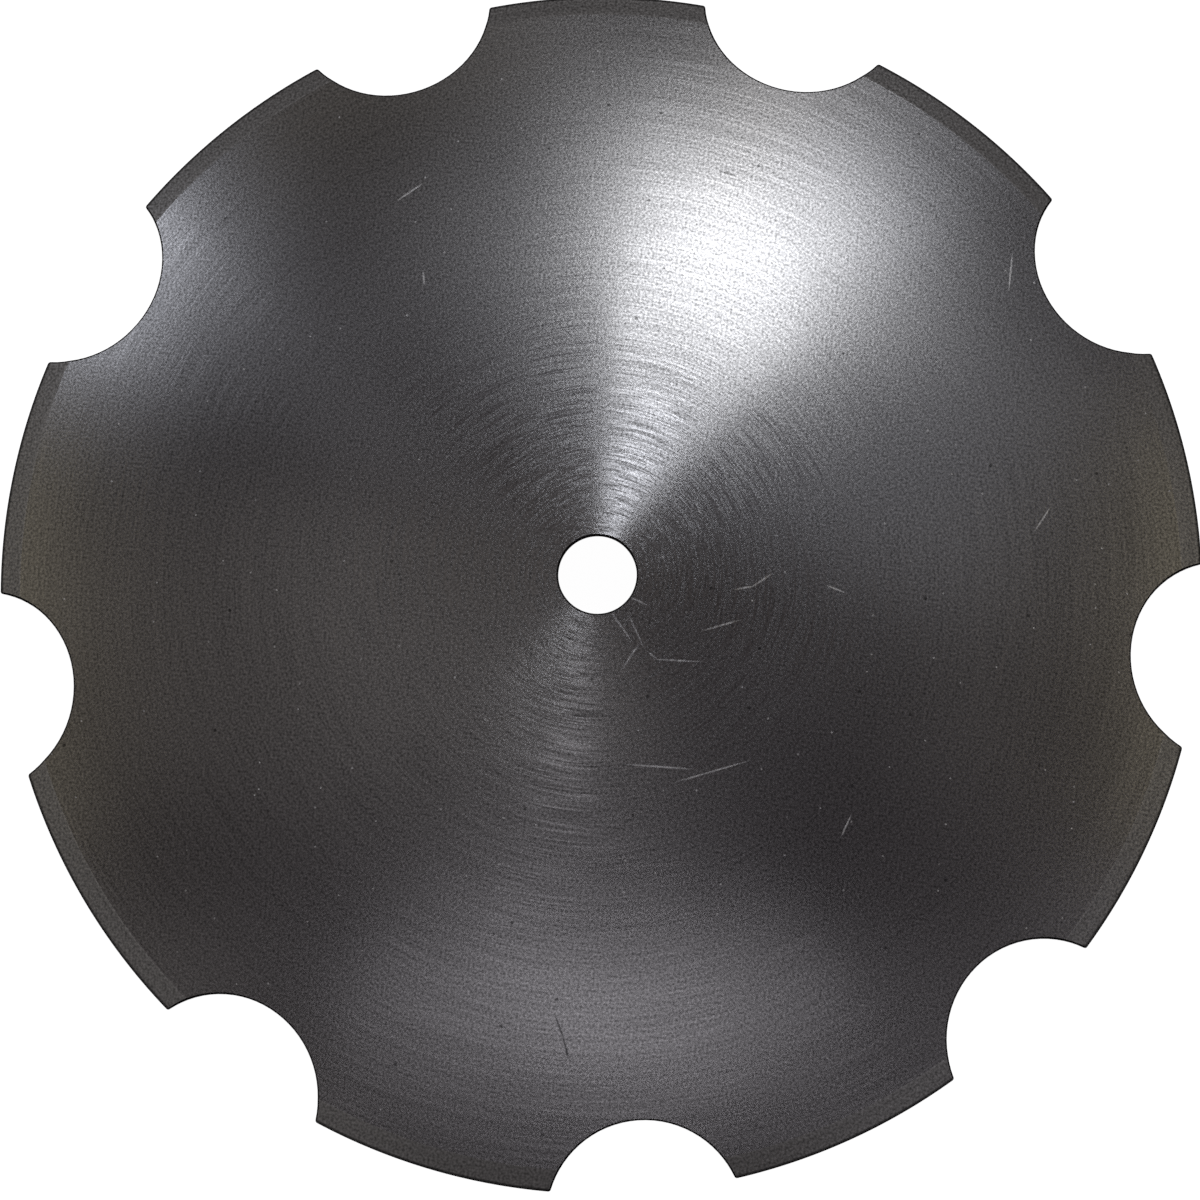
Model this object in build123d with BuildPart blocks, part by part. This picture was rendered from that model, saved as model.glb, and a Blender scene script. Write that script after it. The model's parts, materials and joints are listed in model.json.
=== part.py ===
from build123d import *
import os
from math import sqrt

os.makedirs("parts", exist_ok=True)

# A notched harrow disc blade: one steel plate, pressed to a dish, with round notches struck in its rim,
# a cutting bevel ground on the lobes that are left between them, and a round hole for the gang's arbor.
# It lies crown up on its rim. Z is the arbor's axis, and the origin is the middle of the arbor hole.

# Plate
blade_diameter = 508.0  # across the rim
dish_depth = 65.0  # hollow of the concave face, from the plane of the rim to its crown
plate_thickness = 5.0

# Arbor hole
arbor_diameter = 31.75  # the round shaft that carries the gang
arbor_clearance = 0.3  # all round the shaft

# Notches: struck one at a time, so their spacing wanders by a few degrees round the rim
notch_radius = 41.5
notch_depth = 30.0  # from the rim to the floor of the notch
notch_bearings = (0.0, 38.5, 77.5, 116.0, 155.0, 195.5, 239.5, 280.5, 321.0)  # degrees from +X
corner_radius = 1.2  # where a notch meets the rim, seen along the arbor

# Edges
bevel_width = 9.4  # ground on the crown side, seen along the arbor
edge_thickness = 1.5  # left at the rim after grinding
edge_break = 0.5  # corner taken off the notches and the arbor hole on the crown side

# Both faces are parts of spheres about one centre, below the blade on the arbor's axis
rim_radius = blade_diameter / 2
blank_radius = rim_radius + plate_thickness  # pressed with stock to trim at the rim
hollow_sphere = (rim_radius**2 + dish_depth**2) / (2 * dish_depth)
crown_sphere = hollow_sphere + plate_thickness
sphere_centre = -plate_thickness / 2 - hollow_sphere


def on_sphere(sphere_radius, radius):
    """The point on a face's section at this distance from the arbor's axis."""
    return Vector(radius, sphere_centre + sqrt(sphere_radius**2 - radius**2))


hollow_top = on_sphere(hollow_sphere, 0)
hollow_foot = on_sphere(hollow_sphere, blank_radius)
crown_top = on_sphere(crown_sphere, 0)
crown_foot = on_sphere(crown_sphere, blank_radius)
bevel_top = on_sphere(crown_sphere, rim_radius - bevel_width)
bevel_foot = on_sphere(hollow_sphere, rim_radius) + Vector(0, edge_thickness)

with BuildPart() as disc_blade:
    # Dished blank
    with BuildSketch(Plane.XZ):
        with BuildLine():
            RadiusArc(hollow_top, hollow_foot, hollow_sphere)
            Line(hollow_foot, crown_foot)
            RadiusArc(crown_top, crown_foot, crown_sphere)
            Line(crown_top, hollow_top)
        make_face()
    revolve(axis=Axis.Z)

    # Rim and notches, trimmed straight down through the dish
    with BuildSketch() as outline:
        Circle(rim_radius)
        for bearing in notch_bearings:
            with PolarLocations(rim_radius - notch_depth + notch_radius, 1, start_angle=bearing):
                Circle(notch_radius, mode=Mode.SUBTRACT)
        fillet(outline.vertices(), corner_radius)
    extrude(amount=rim_radius, both=True, mode=Mode.INTERSECT)

    # Cutting bevel on the lobes
    with BuildSketch(Plane.XZ):
        with BuildLine():
            Polyline(
                bevel_top,
                bevel_foot,
                (blank_radius, bevel_foot.Y),
                (blank_radius, crown_top.Y),
                (bevel_top.X, crown_top.Y),
                close=True,
            )
        make_face()
    revolve(axis=Axis.Z, mode=Mode.SUBTRACT)

    # Arbor hole
    Hole(arbor_diameter / 2 + arbor_clearance)

    # Broken corners where the crown meets the notch walls and the arbor hole
    crown = disc_blade.faces().filter_by(GeomType.SPHERE).sort_by(Axis.Z).last
    walls = disc_blade.faces().filter_by(GeomType.CYLINDER)
    chamfer(crown.edges() & walls.edges(), edge_break)

disc_blade.part.label = "disc_blade"
export_step(disc_blade.part, "parts/disc_blade.step")
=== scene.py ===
import json
from math import acos, atan2, cos, hypot, pi, radians, sin, sqrt, tan, tau

import bmesh
import bpy
from mathutils import Matrix, Vector


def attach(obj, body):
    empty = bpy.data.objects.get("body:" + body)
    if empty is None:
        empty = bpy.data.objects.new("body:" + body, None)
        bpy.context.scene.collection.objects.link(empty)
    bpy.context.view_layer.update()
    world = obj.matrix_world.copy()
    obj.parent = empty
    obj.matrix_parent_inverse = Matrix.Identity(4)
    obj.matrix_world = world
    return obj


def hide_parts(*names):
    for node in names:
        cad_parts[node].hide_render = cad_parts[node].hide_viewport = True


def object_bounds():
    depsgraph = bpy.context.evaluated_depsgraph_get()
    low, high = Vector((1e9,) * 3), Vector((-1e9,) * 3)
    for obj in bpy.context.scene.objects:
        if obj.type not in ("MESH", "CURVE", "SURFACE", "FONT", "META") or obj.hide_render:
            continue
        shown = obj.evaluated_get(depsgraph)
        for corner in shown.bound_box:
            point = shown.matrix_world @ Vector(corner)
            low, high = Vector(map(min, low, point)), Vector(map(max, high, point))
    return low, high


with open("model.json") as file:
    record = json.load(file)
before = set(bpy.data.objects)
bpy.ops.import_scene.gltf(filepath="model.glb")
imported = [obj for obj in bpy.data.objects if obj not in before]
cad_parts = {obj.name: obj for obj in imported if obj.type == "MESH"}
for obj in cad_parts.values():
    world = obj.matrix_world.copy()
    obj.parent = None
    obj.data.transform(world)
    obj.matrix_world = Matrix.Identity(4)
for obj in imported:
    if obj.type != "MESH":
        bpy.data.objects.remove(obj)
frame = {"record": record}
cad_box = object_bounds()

# Disc blade
# One steel plate, pressed to a dish, notched round its rim, ground to a bevel and holed for the arbor.
# The plain dish is spun from its section, and its rim is then drawn in to the notched outline.
rim_radius = 0.254
dish_depth = 0.065
plate_thickness = 0.005
hole_radius = frame["record"]["mounts"][0]["dims"]["r_mm"] / 1000
bevel_width = 0.0094
edge_thickness = 0.0015
notch_radius = 0.0415
notch_depth = 0.030
notch_bearings = [radians(bearing) for bearing in (0, 38.5, 77.5, 116, 155, 195.5, 239.5, 280.5, 321)]
corner_radius = 0.0012

ridge_radius = rim_radius - bevel_width
hollow_sphere = (rim_radius**2 + dish_depth**2) / (2 * dish_depth)
crown_sphere = hollow_sphere + plate_thickness
sphere_centre = -plate_thickness / 2 - hollow_sphere


def sphere_height(sphere_radius, radius):
    return sphere_centre + sqrt(sphere_radius**2 - radius**2)


ridge_height = sphere_height(crown_sphere, ridge_radius)
bevel_foot = sphere_height(hollow_sphere, rim_radius) + edge_thickness


def crown_height(radius):
    """Height of the crown side: the pressed dish, then the ground bevel down to the cutting edge."""
    if radius <= ridge_radius:
        return sphere_height(crown_sphere, radius)
    return ridge_height + (bevel_foot - ridge_height) * (radius - ridge_radius) / bevel_width


def hollow_height(radius):
    return sphere_height(hollow_sphere, radius)


def heading(bearing):
    return Vector((cos(bearing), sin(bearing)))


def arc(centre, radius, start, turn, steps):
    """Points along an arc, all but its last, which is the first of the next arc."""
    return [centre + radius * heading(start + turn * step / steps) for step in range(steps)]


def corner_angle(near, far, opposite):
    """The angle of a triangle between two of its sides."""
    return acos((near**2 + far**2 - opposite**2) / (2 * near * far))


# The outline, anticlockwise: each notch is an arc about a centre outside the rim, and small arcs round the
# lobes. The ridge at the top of the bevel runs beside it, and is the outline itself along a notch's floor.
axis = Vector((0, 0))
notch_reach = rim_radius - notch_depth + notch_radius
corner_reach = rim_radius - corner_radius
notch_to_corner = notch_radius + corner_radius
corner_turn = corner_angle(corner_reach, notch_reach, notch_to_corner)
corner_sweep = pi - corner_angle(corner_reach, notch_to_corner, notch_reach)
mouth_turn = corner_angle(notch_reach, notch_to_corner, corner_reach)
ridge_turn = corner_angle(notch_reach, notch_radius, ridge_radius)
ridge_bearing = corner_angle(notch_reach, ridge_radius, notch_radius)
flank_turn = mouth_turn - ridge_turn
floor_steps, flank_steps, corner_steps, rim_steps = 24, 3, 4, 32
outline, ridge = [], []
for bearing, following in zip(notch_bearings, notch_bearings[1:] + [notch_bearings[0] + tau]):
    notch = notch_reach * heading(bearing)
    next_notch = notch_reach * heading(following)
    lobe_start = bearing + corner_turn
    lobe_end = following - corner_turn
    first_corner = corner_reach * heading(lobe_start)
    last_corner = corner_reach * heading(lobe_end)
    floor_arc = arc(notch, notch_radius, bearing + pi + ridge_turn, -2 * ridge_turn, floor_steps)
    lobe_arcs = [
        *arc(notch, notch_radius, bearing + pi - ridge_turn, -flank_turn, flank_steps),
        *arc(first_corner, corner_radius, lobe_start - corner_sweep, corner_sweep, corner_steps),
        *arc(axis, rim_radius, lobe_start, lobe_end - lobe_start, rim_steps),
        *arc(last_corner, corner_radius, lobe_end, corner_sweep, corner_steps),
        *arc(next_notch, notch_radius, following + pi + mouth_turn, -flank_turn, flank_steps),
    ]
    ridge_start = bearing + ridge_bearing
    ridge_end = following - ridge_bearing
    outline += floor_arc + lobe_arcs
    ridge += floor_arc + arc(axis, ridge_radius, ridge_start, ridge_end - ridge_start, len(lobe_arcs))
columns = len(outline)

# The dish before it is notched: its section runs out along the crown and back along the hollow.
ring_count = 28
ring_step = (ridge_radius - hole_radius) / ring_count
ring_radii = [hole_radius + ring_step * ring for ring in range(ring_count + 1)] + [rim_radius]
plate = bmesh.new()
crown_line = [plate.verts.new((radius, 0, crown_height(radius))) for radius in ring_radii]
hollow_line = [plate.verts.new((radius, 0, hollow_height(radius))) for radius in reversed(ring_radii)]
section = crown_line + hollow_line
section_edges = [plate.edges.new(pair) for pair in zip(section, section[1:] + section[:1])]
bmesh.ops.spin(
    plate, geom=section + section_edges, cent=(0, 0, 0), axis=(0, 0, 1),
    angle=tau, steps=columns, use_merge=True,
)

# Each column of points is drawn in to its place on the outline, less and less towards the hole.
drawn_from = 0.5
for vert in plate.verts:
    radius = hypot(vert.co.x, vert.co.y)
    bearing = atan2(vert.co.y, vert.co.x)
    column = (round(bearing / tau * columns) + floor_steps // 2) % columns
    if radius < ridge_radius:
        share = (radius - hole_radius) / (ridge_radius - hole_radius)
        pull = min(max((share - drawn_from) / (1 - drawn_from), 0), 1)
        pull = pull * pull * (3 - 2 * pull)
        place = radius * heading(bearing) + (ridge[column] - ridge_radius * heading(bearing)) * pull
    else:
        place = ridge[column].lerp(outline[column], (radius - ridge_radius) / bevel_width)
    on_crown = vert.co.z > hollow_height(radius) + edge_thickness / 2
    reach = min(place.length, rim_radius)
    vert.co = (*place, crown_height(reach) if on_crown else hollow_height(reach))
merge_distance = 1e-6
bmesh.ops.remove_doubles(plate, verts=plate.verts, dist=merge_distance)
bmesh.ops.recalc_face_normals(plate, faces=plate.faces)

# Three finishes: the turned faces, the ground bevel, and the sheared walls with their rounded edges.
turned, ground, sheared = 0, 1, 2
wall_upness = 0.3
for face in plate.faces:
    face.smooth = True
    middle = face.calc_center_median()
    if abs(face.normal.z) < wall_upness:
        face.material_index = sheared
    elif face.normal.z > 0 and hypot(middle.x, middle.y) > ridge_radius:
        face.material_index = ground
    else:
        face.material_index = turned
edge_round = 0.0009
wall_angle = radians(30)
sharp_edges = [edge for edge in plate.edges if edge.calc_face_angle(0) > wall_angle]
rounding = bmesh.ops.bevel(
    plate, geom=sharp_edges, offset=edge_round, affect="EDGES", segments=3, profile=0.5,
    material=-1, clamp_overlap=True,
)["faces"]
for face in rounding:
    face.smooth = True
    face.material_index = sheared
for edge in plate.edges:
    edge.smooth = len({face.material_index for face in edge.link_faces}) == 1
mesh = bpy.data.meshes.new("disc_blade_plate")
plate.to_mesh(mesh)
plate.free()
blade = bpy.data.objects.new("disc_blade_plate", mesh)
bpy.context.scene.collection.objects.link(blade)
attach(blade, "root")
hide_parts("disc_blade")


class Shade:
    """A value over a surface. Arithmetic on it adds Math nodes, and node() adds any other node."""

    def __init__(self, socket):
        self.socket = socket

    def node(self, kind, settings, inputs, output=0):
        """Adds a node to the same material: its settings first, then the values or links of its sockets."""
        tree = self.socket.id_data
        added = tree.nodes.new(kind)
        for name, value in settings.items():
            setattr(added, name, value)
        for name, value in inputs.items():
            if isinstance(value, Shade):
                tree.links.new(value.socket, added.inputs[name])
            else:
                added.inputs[name].default_value = value
        return Shade(added.outputs[output])

    def math(self, operation, *values):
        return self.node("ShaderNodeMath", {"operation": operation}, dict(enumerate(values)))

    def fade(self, start, end):
        """0 up to start and 1 from end on, or the other way round where end is the lower."""
        limits = {"Value": self, "From Min": start, "From Max": end}
        return self.node("ShaderNodeMapRange", {"interpolation_type": "SMOOTHSTEP"}, limits)

    def vector(self, operation, *values, output=0):
        settings = {"operation": operation}
        return self.node("ShaderNodeVectorMath", settings, dict(enumerate(values)), output)

    def __add__(self, other):
        return self.math("ADD", self, other)

    def __sub__(self, other):
        return self.math("SUBTRACT", self, other)

    def __rsub__(self, other):
        return self.math("SUBTRACT", other, self)

    def __mul__(self, other):
        return self.math("MULTIPLY", self, other)

    __radd__ = __add__
    __rmul__ = __mul__


def brush(shader, roughness, anisotropy):
    """Makes a shader bare metal that is brushed round the arbor's axis."""
    quarter_turn = 0.25
    shader.inputs["Metallic"].default_value = 1
    shader.inputs["Roughness"].default_value = roughness
    shader.inputs["Anisotropic"].default_value = anisotropy
    shader.inputs["Anisotropic Rotation"].default_value = quarter_turn


def steel(name, roughness, anisotropy):
    """The blade's next finish: its nodes, its shader and the place on the blade that it reads."""
    material = bpy.data.materials.new(name)
    material.use_nodes = True
    mesh.materials.append(material)
    nodes = material.node_tree.nodes
    shader = nodes["Principled BSDF"]
    brush(shader, roughness, anisotropy)
    return nodes, shader, Shade(nodes.new("ShaderNodeTexCoord").outputs["Object"])


def feed(shader, name, value):
    shader.id_data.links.new(value.socket, shader.inputs[name])


def grey(lightness):
    """A neutral steel colour of this lightness, kept between black and white."""
    held = lightness.node("ShaderNodeClamp", {}, {"Value": lightness, "Min": 0.01, "Max": 0.95})
    return held.node("ShaderNodeVectorMath", {"operation": "SCALE"}, {0: (1, 1, 1), "Scale": held})


def relief(height, depth):
    """The surface's lean where it has so much relief, in metres."""
    return height.node("ShaderNodeBump", {}, {"Strength": 1, "Distance": depth, "Height": height})


def radius_at(place):
    return place.vector("LENGTH", place.vector("MULTIPLY", place, (1, 1, 0)), output="Value")


def round_the_axis(place, across, along):
    """Coordinates that follow the turning: so many steps a metre across it, and so many a radian along it."""
    ahead = place.vector("NORMALIZE", place.vector("MULTIPLY", place, (1, 1, 0)))
    outward = place.node("ShaderNodeCombineXYZ", {}, {"Z": radius_at(place) * across})
    return place.vector("MULTIPLY_ADD", ahead, (along, along, 0), outward)


def noise(place, scale, detail, dimensions="2D"):
    """Noise about 0, in so many steps to each unit of its coordinates. 2D noise is seen along the arbor."""
    settings = {"noise_dimensions": dimensions}
    inputs = {"Vector": place, "Scale": scale, "Detail": detail}
    return place.node("ShaderNodeTexNoise", settings, inputs) - 0.5


def specks(place, spacing, size, share):
    """Small spots, no more than one to a cell of the spacing and only in a share of the cells."""
    settings = {"voronoi_dimensions": "2D"}
    inputs = {"Vector": place, "Scale": 1 / spacing}
    cell = place.node("ShaderNodeTexVoronoi", settings, inputs, "Distance")
    cell_colour = Shade(cell.socket.node.outputs["Color"])
    luck = cell.node("ShaderNodeSeparateColor", {}, {"Color": cell_colour})
    return (cell * spacing).fade(size, size / 2) * luck.fade(1 - share, 1 - share / 2)


def scratch(place, start, end, width):
    """1 at the middle of a scratch, less towards its sides and its ends, which are in mm from the arbor."""
    start, end = (Vector(point) / 1000 for point in (start, end))
    middle, run = (start + end) / 2, end - start
    reach, deeper_than_the_dish = run.length * 0.8, 10
    stretched = place.node("ShaderNodeMapping", {"vector_type": "TEXTURE"}, {
        "Vector": place,
        "Location": (*middle, 0),
        "Rotation": (0, 0, atan2(run.y, run.x)),
        "Scale": (reach, width, deeper_than_the_dish),
    })
    return place.node("ShaderNodeTexGradient", {"gradient_type": "SPHERICAL"}, {"Vector": stretched}, "Fac")


def scratches(place, lines, width):
    marks = [scratch(place, *ends, width) for line in lines for ends in zip(line, line[1:])]
    total = marks[0]
    for mark in marks[1:]:
        total = total.math("MAXIMUM", total, mark)
    return total.fade(0, 0.6)


# Turned face
# The crown and the hollow: bare rolled steel with a fine pitted grain, turned about the arbor's axis.
# The turning shows as broken rings near the hole. Handling has left scratches, bright specks and a few pits.
face_lightness = 0.5
face_roughness = 0.32
ring_roughness = 0.223
face_nodes, face_shader, place = steel("turned_steel", face_roughness, 0.3)
ring_shader = face_nodes.new("ShaderNodeBsdfPrincipled")
brush(ring_shader, ring_roughness, 0.932)
grain_per_metre = 1000
rings_per_metre = 1700
breaks_per_radian = 4.5
patches_per_metre = 14
grain = noise(place, grain_per_metre, 0)
rings = noise(round_the_axis(place, rings_per_metre, breaks_per_radian), 1, 0, "3D")
patches = noise(place, patches_per_metre, 0)
bright_lines = (
    ((8.5, -16), (16, -24.5)),
    ((15.5, -16.5), (21.5, -26.5)),
    ((20, -27), (15, -36.5)),
    ((24.5, -29.5), (28.5, -32), (44.5, -31)),
    ((15, -8), (21, -10)),
    ((57.5, 0.5), (64, 2.5), (70.5, 8)),
    ((24, -76), (44.5, -75)),
    ((45, -79.5), (66.5, -70.5)),
    ((47, -17.5), (59, -12.5)),
    ((178.5, 42), (183, 51)),
    ((95, 6.5), (101, 5)),
    ((112, -94), (114.5, -86.5)),
    ((157, 156.5), (157, 144)),
    ((-35, 140), (-32, 143.5)),
    ((-87, 119.5), (-86, 115)),
    ((-101, 151), (-93.5, 157.5)),
)
dark_lines = (
    ((30.5, 177.5), (37.5, 176)),
    ((2.5, -181.5), (6.5, -189.5), (9.5, -198)),
)
bright_width, dark_width = 0.0005, 0.0006
speck_spacing, speck_size, speck_share = 0.013, 0.0005, 0.25
pit_spacing, pit_size, pit_share = 0.022, 0.0009, 0.14
elsewhere = place.vector("ADD", place, (0.37, 0.21, 0))
bright_specks = specks(place, speck_spacing, speck_size, speck_share)
dark_pits = specks(elsewhere, pit_spacing, pit_size, pit_share)
bright_marks = scratches(place, bright_lines, bright_width) + bright_specks
dark_marks = scratches(place, dark_lines, dark_width) + dark_pits
rings_start, rings_end = 0.016, 0.16
near_hole = radius_at(place).fade(rings_end, rings_start)
ring_contrast = 0.45 + near_hole * 0.25
lightness = face_lightness * (1 + grain * 1.1 + rings * ring_contrast + patches * 0.15)
lightness = (lightness + bright_marks * 0.4) * (1 - dark_marks * 0.6)
face_colour = grey(lightness)
for shader in (face_shader, ring_shader):
    feed(shader, "Base Color", face_colour)
grain_depth = 0.000017
feed(face_shader, "Normal", relief(grain, grain_depth))
feed(face_shader, "Roughness", face_roughness + bright_marks * 0.35 + patches * 0.05)
feed(ring_shader, "Roughness", ring_roughness + bright_marks * 0.45)
ring_share = near_hole * 0.74 + rings * (1.6 + near_hole * 1.2)
finishes = {
    "Fac": ring_share,
    1: Shade(face_shader.outputs[0]),
    2: Shade(ring_shader.outputs[0]),
}
feed(face_nodes["Material Output"], "Surface", near_hole.node("ShaderNodeMixShader", {}, finishes))

# Ground bevel
# The cutting bevel along the top of each lobe: the same steel, ground after pressing, a little duller.
# A thin band along the ridge where it meets the face is made lighter, a painted highlight, and a band along
# the cutting edge is made darker, painted shade.
bevel_lightness = 0.46
bevel_roughness = 0.35
bevel_shader, place = steel("ground_steel", bevel_roughness, 0.5)[1:]
speckle = noise(place, grain_per_metre, 0)
grinding_per_metre, grinding_per_radian = 700, 3
grinding = noise(round_the_axis(place, grinding_per_metre, grinding_per_radian), 1, 0, "3D")
# Painted highlight: a thin band of the bevel beside the ridge is made lighter, standing in for the light that
# the ridge catches.
painted_ridge_highlight = radius_at(place).fade(ridge_radius + 0.0009, ridge_radius + 0.0002)
# Painted shade: a band of the bevel along the cutting edge is made darker, standing in for the dark line
# where the edge turns away from the light.
painted_edge_shade = radius_at(place).fade(rim_radius - 0.0016, rim_radius - 0.0008)
lightness = bevel_lightness * (1 + speckle * 1.2 + grinding * 0.3) + painted_ridge_highlight * 0.1
feed(bevel_shader, "Base Color", grey(lightness * (1 - painted_edge_shade * 0.7)))
feed(bevel_shader, "Roughness", bevel_roughness + speckle * 0.1)
speckle_depth = 0.000006
feed(bevel_shader, "Normal", relief(speckle, speckle_depth))

# Sheared edges
# The walls of the rim, the notches and the hole: the cut side of the plate, sheared and left dark.
# Their corners are rubbed round, and the tearing of the steel shows as a coarse mottle.
wall_lightness = 0.03
wall_roughness = 0.5
wall_shader, place = steel("sheared_steel", wall_roughness, 0)[1:]
tears = noise(place, 600, 2, "3D")
feed(wall_shader, "Base Color", grey(wall_lightness * (1 + tears * 2)))
feed(wall_shader, "Roughness", wall_roughness + tears * 0.3)

# Floor
# A plain white studio floor under the rim, matt, with a glow of its own so that it stays white.
# It is left out of the steel's reflections, which are of the lights and the sky alone.
floor_height = cad_box[0].z
floor_reach = 3.0
sheet = bmesh.new()
floor_place = Matrix.Translation((0, 0, floor_height))
bmesh.ops.create_grid(sheet, x_segments=1, y_segments=1, size=floor_reach, matrix=floor_place)
floor_mesh = bpy.data.meshes.new("studio_floor")
sheet.to_mesh(floor_mesh)
sheet.free()
floor = bpy.data.objects.new("studio_floor", floor_mesh)
bpy.context.scene.collection.objects.link(floor)
floor.visible_glossy = False
white = bpy.data.materials.new("studio_white")
white.use_nodes = True
shader = white.node_tree.nodes["Principled BSDF"]
shader.inputs["Base Color"].default_value = (0.5, 0.5, 0.5, 1)
shader.inputs["Roughness"].default_value = 1
shader.inputs["Specular IOR Level"].default_value = 0
shader.inputs["Emission Color"].default_value = (1, 1, 1, 1)
shader.inputs["Emission Strength"].default_value = 0.98
floor_mesh.materials.append(white)

# Lights
# A dim studio: a dark sky with a glow along the horizon, which the bevel mirrors, and a ring of soft boxes.
# The key makes the bright fan above the hole, and the others fill the rest of the dish.
world = bpy.data.worlds.new("studio")
bpy.context.scene.world = world
world.use_nodes = True
sky = world.node_tree.nodes["Background"]
facing = Shade(world.node_tree.nodes.new("ShaderNodeTexCoord").outputs["Generated"])
horizon_reach = 0.27
horizon_glow = (0.196, 0.19, 0.18)
sky_glow = (0.033, 0.028, 0.031)
brighter_way = (-0.64, 0.77, 0)
steepness = facing.vector("DOT_PRODUCT", facing, (0, 0, 1), output="Value")
brighter_side = facing.vector("DOT_PRODUCT", facing, brighter_way, output="Value")
horizon = steepness.math("ABSOLUTE", steepness).fade(horizon_reach, 0) * (1 + brighter_side * 0.3)
feed(sky, "Color", horizon.vector("MULTIPLY_ADD", horizon, horizon_glow, sky_glow))
light_distance = 4.0
picture_roll = 6.35


def soft_light(name, lean, bearing, wide, tall, glow, tint):
    """A soft box facing the blade: its lean off the vertical, its bearing and its size are in degrees."""
    angles = (lean, bearing + picture_roll, wide, tall)
    lean, bearing, wide, tall = (radians(angle) for angle in angles)
    light = bpy.data.lights.new(name, "AREA")
    light.shape = "RECTANGLE"
    light.size = 2 * light_distance * tan(wide / 2)
    light.size_y = 2 * light_distance * tan(tall / 2)
    light.energy = glow * pi * light_distance**2
    light.color = tint
    lamp = bpy.data.objects.new(name, light)
    bpy.context.scene.collection.objects.link(lamp)
    towards = Vector((sin(lean) * cos(bearing), sin(lean) * sin(bearing), cos(lean)))
    along = Vector((-sin(bearing), cos(bearing), 0))
    lamp.location = towards * light_distance
    lamp.rotation_mode = "QUATERNION"
    lamp.rotation_quaternion = Matrix((along, towards.cross(along), towards)).transposed().to_quaternion()


white_tint = (0.99, 1, 1.03)
cool_tint = (0.97, 1, 1.1)
lilac_tint = (1.02, 0.99, 1.06)
cream_tint = (1.06, 1, 0.93)
warm_tint = (1.13, 1, 0.67)
soft_light("key", 40, 73, 19, 18, 0.39, white_tint)
soft_light("key_low", 52, 62, 16, 8, 0.038, cool_tint)
soft_light("key_strip", 56, 74, 6, 18, 0.023, cream_tint)
soft_light("inner", 18, 80, 5, 5, 0.038, cool_tint)
soft_light("upper_left", 69, 143, 15, 9, 0.13, cool_tint)
soft_light("top_low", 66, 112, 30, 11, 0.007, warm_tint)
soft_light("bottom", 40, 269, 48, 5, 0.062, lilac_tint)
soft_light("bottom_core", 42, 274, 18, 5, 0.023, lilac_tint)
soft_light("streak", 36, 254, 7, 8, 0.008, lilac_tint)
soft_light("inner_streak", 15, 255, 5, 10, 0.006, lilac_tint)
soft_light("left_mid", 15, 184, 32, 39, 0.03, cream_tint)
soft_light("right_mid", 33, 64, 62, 31, 0.07, cool_tint)
for side, bearing in (("left", 180), ("right", 0)):
    soft_light(f"{side}_face", 40, bearing, 30, 20, 0.006, cream_tint)
soft_light("right_low", 72, 0, 40, 14, 0.088, warm_tint)
soft_light("left_low", 72, 180, 40, 14, 0.061, warm_tint)
soft_light("lower_left", 72, 225, 40, 14, 0.035, cream_tint)
soft_light("lower_right", 72, 315, 40, 14, 0.055, lilac_tint)

# Camera
# It looks almost straight down the arbor, a little from one side and turned about its own line of sight.
# Its lens is given in pixels of the 1200 px picture. Denoising is off: it spoils the fine grain.
image_side = 1200
sensor_width = 36.0
focal_pixels = 6073.6
aim = Vector((0.00106, -0.00659, -0.040))
camera_distance = 2.540
camera_bearing = radians(-72.38)
camera_lean = radians(5.37)
camera_roll = radians(picture_roll)
sideways = sin(camera_lean)
back = Vector((sideways * cos(camera_bearing), sideways * sin(camera_bearing), cos(camera_lean)))
right = Vector((cos(camera_roll), sin(camera_roll), 0))
right = (right - back * right.dot(back)).normalized()
up = back.cross(right)
lens = bpy.data.cameras.new("photo_view")
lens.sensor_width = sensor_width
lens.lens = focal_pixels / image_side * sensor_width
camera = bpy.data.objects.new("photo_view", lens)
bpy.context.scene.collection.objects.link(camera)
camera.rotation_mode = "QUATERNION"
camera.location = aim + back * camera_distance
camera.rotation_quaternion = Matrix((right, up, back)).transposed().to_quaternion()
bpy.context.scene.camera = camera
bpy.context.scene.view_settings.view_transform = "Standard"
bpy.context.scene.cycles.use_denoising = False

bpy.context.view_layer.update()
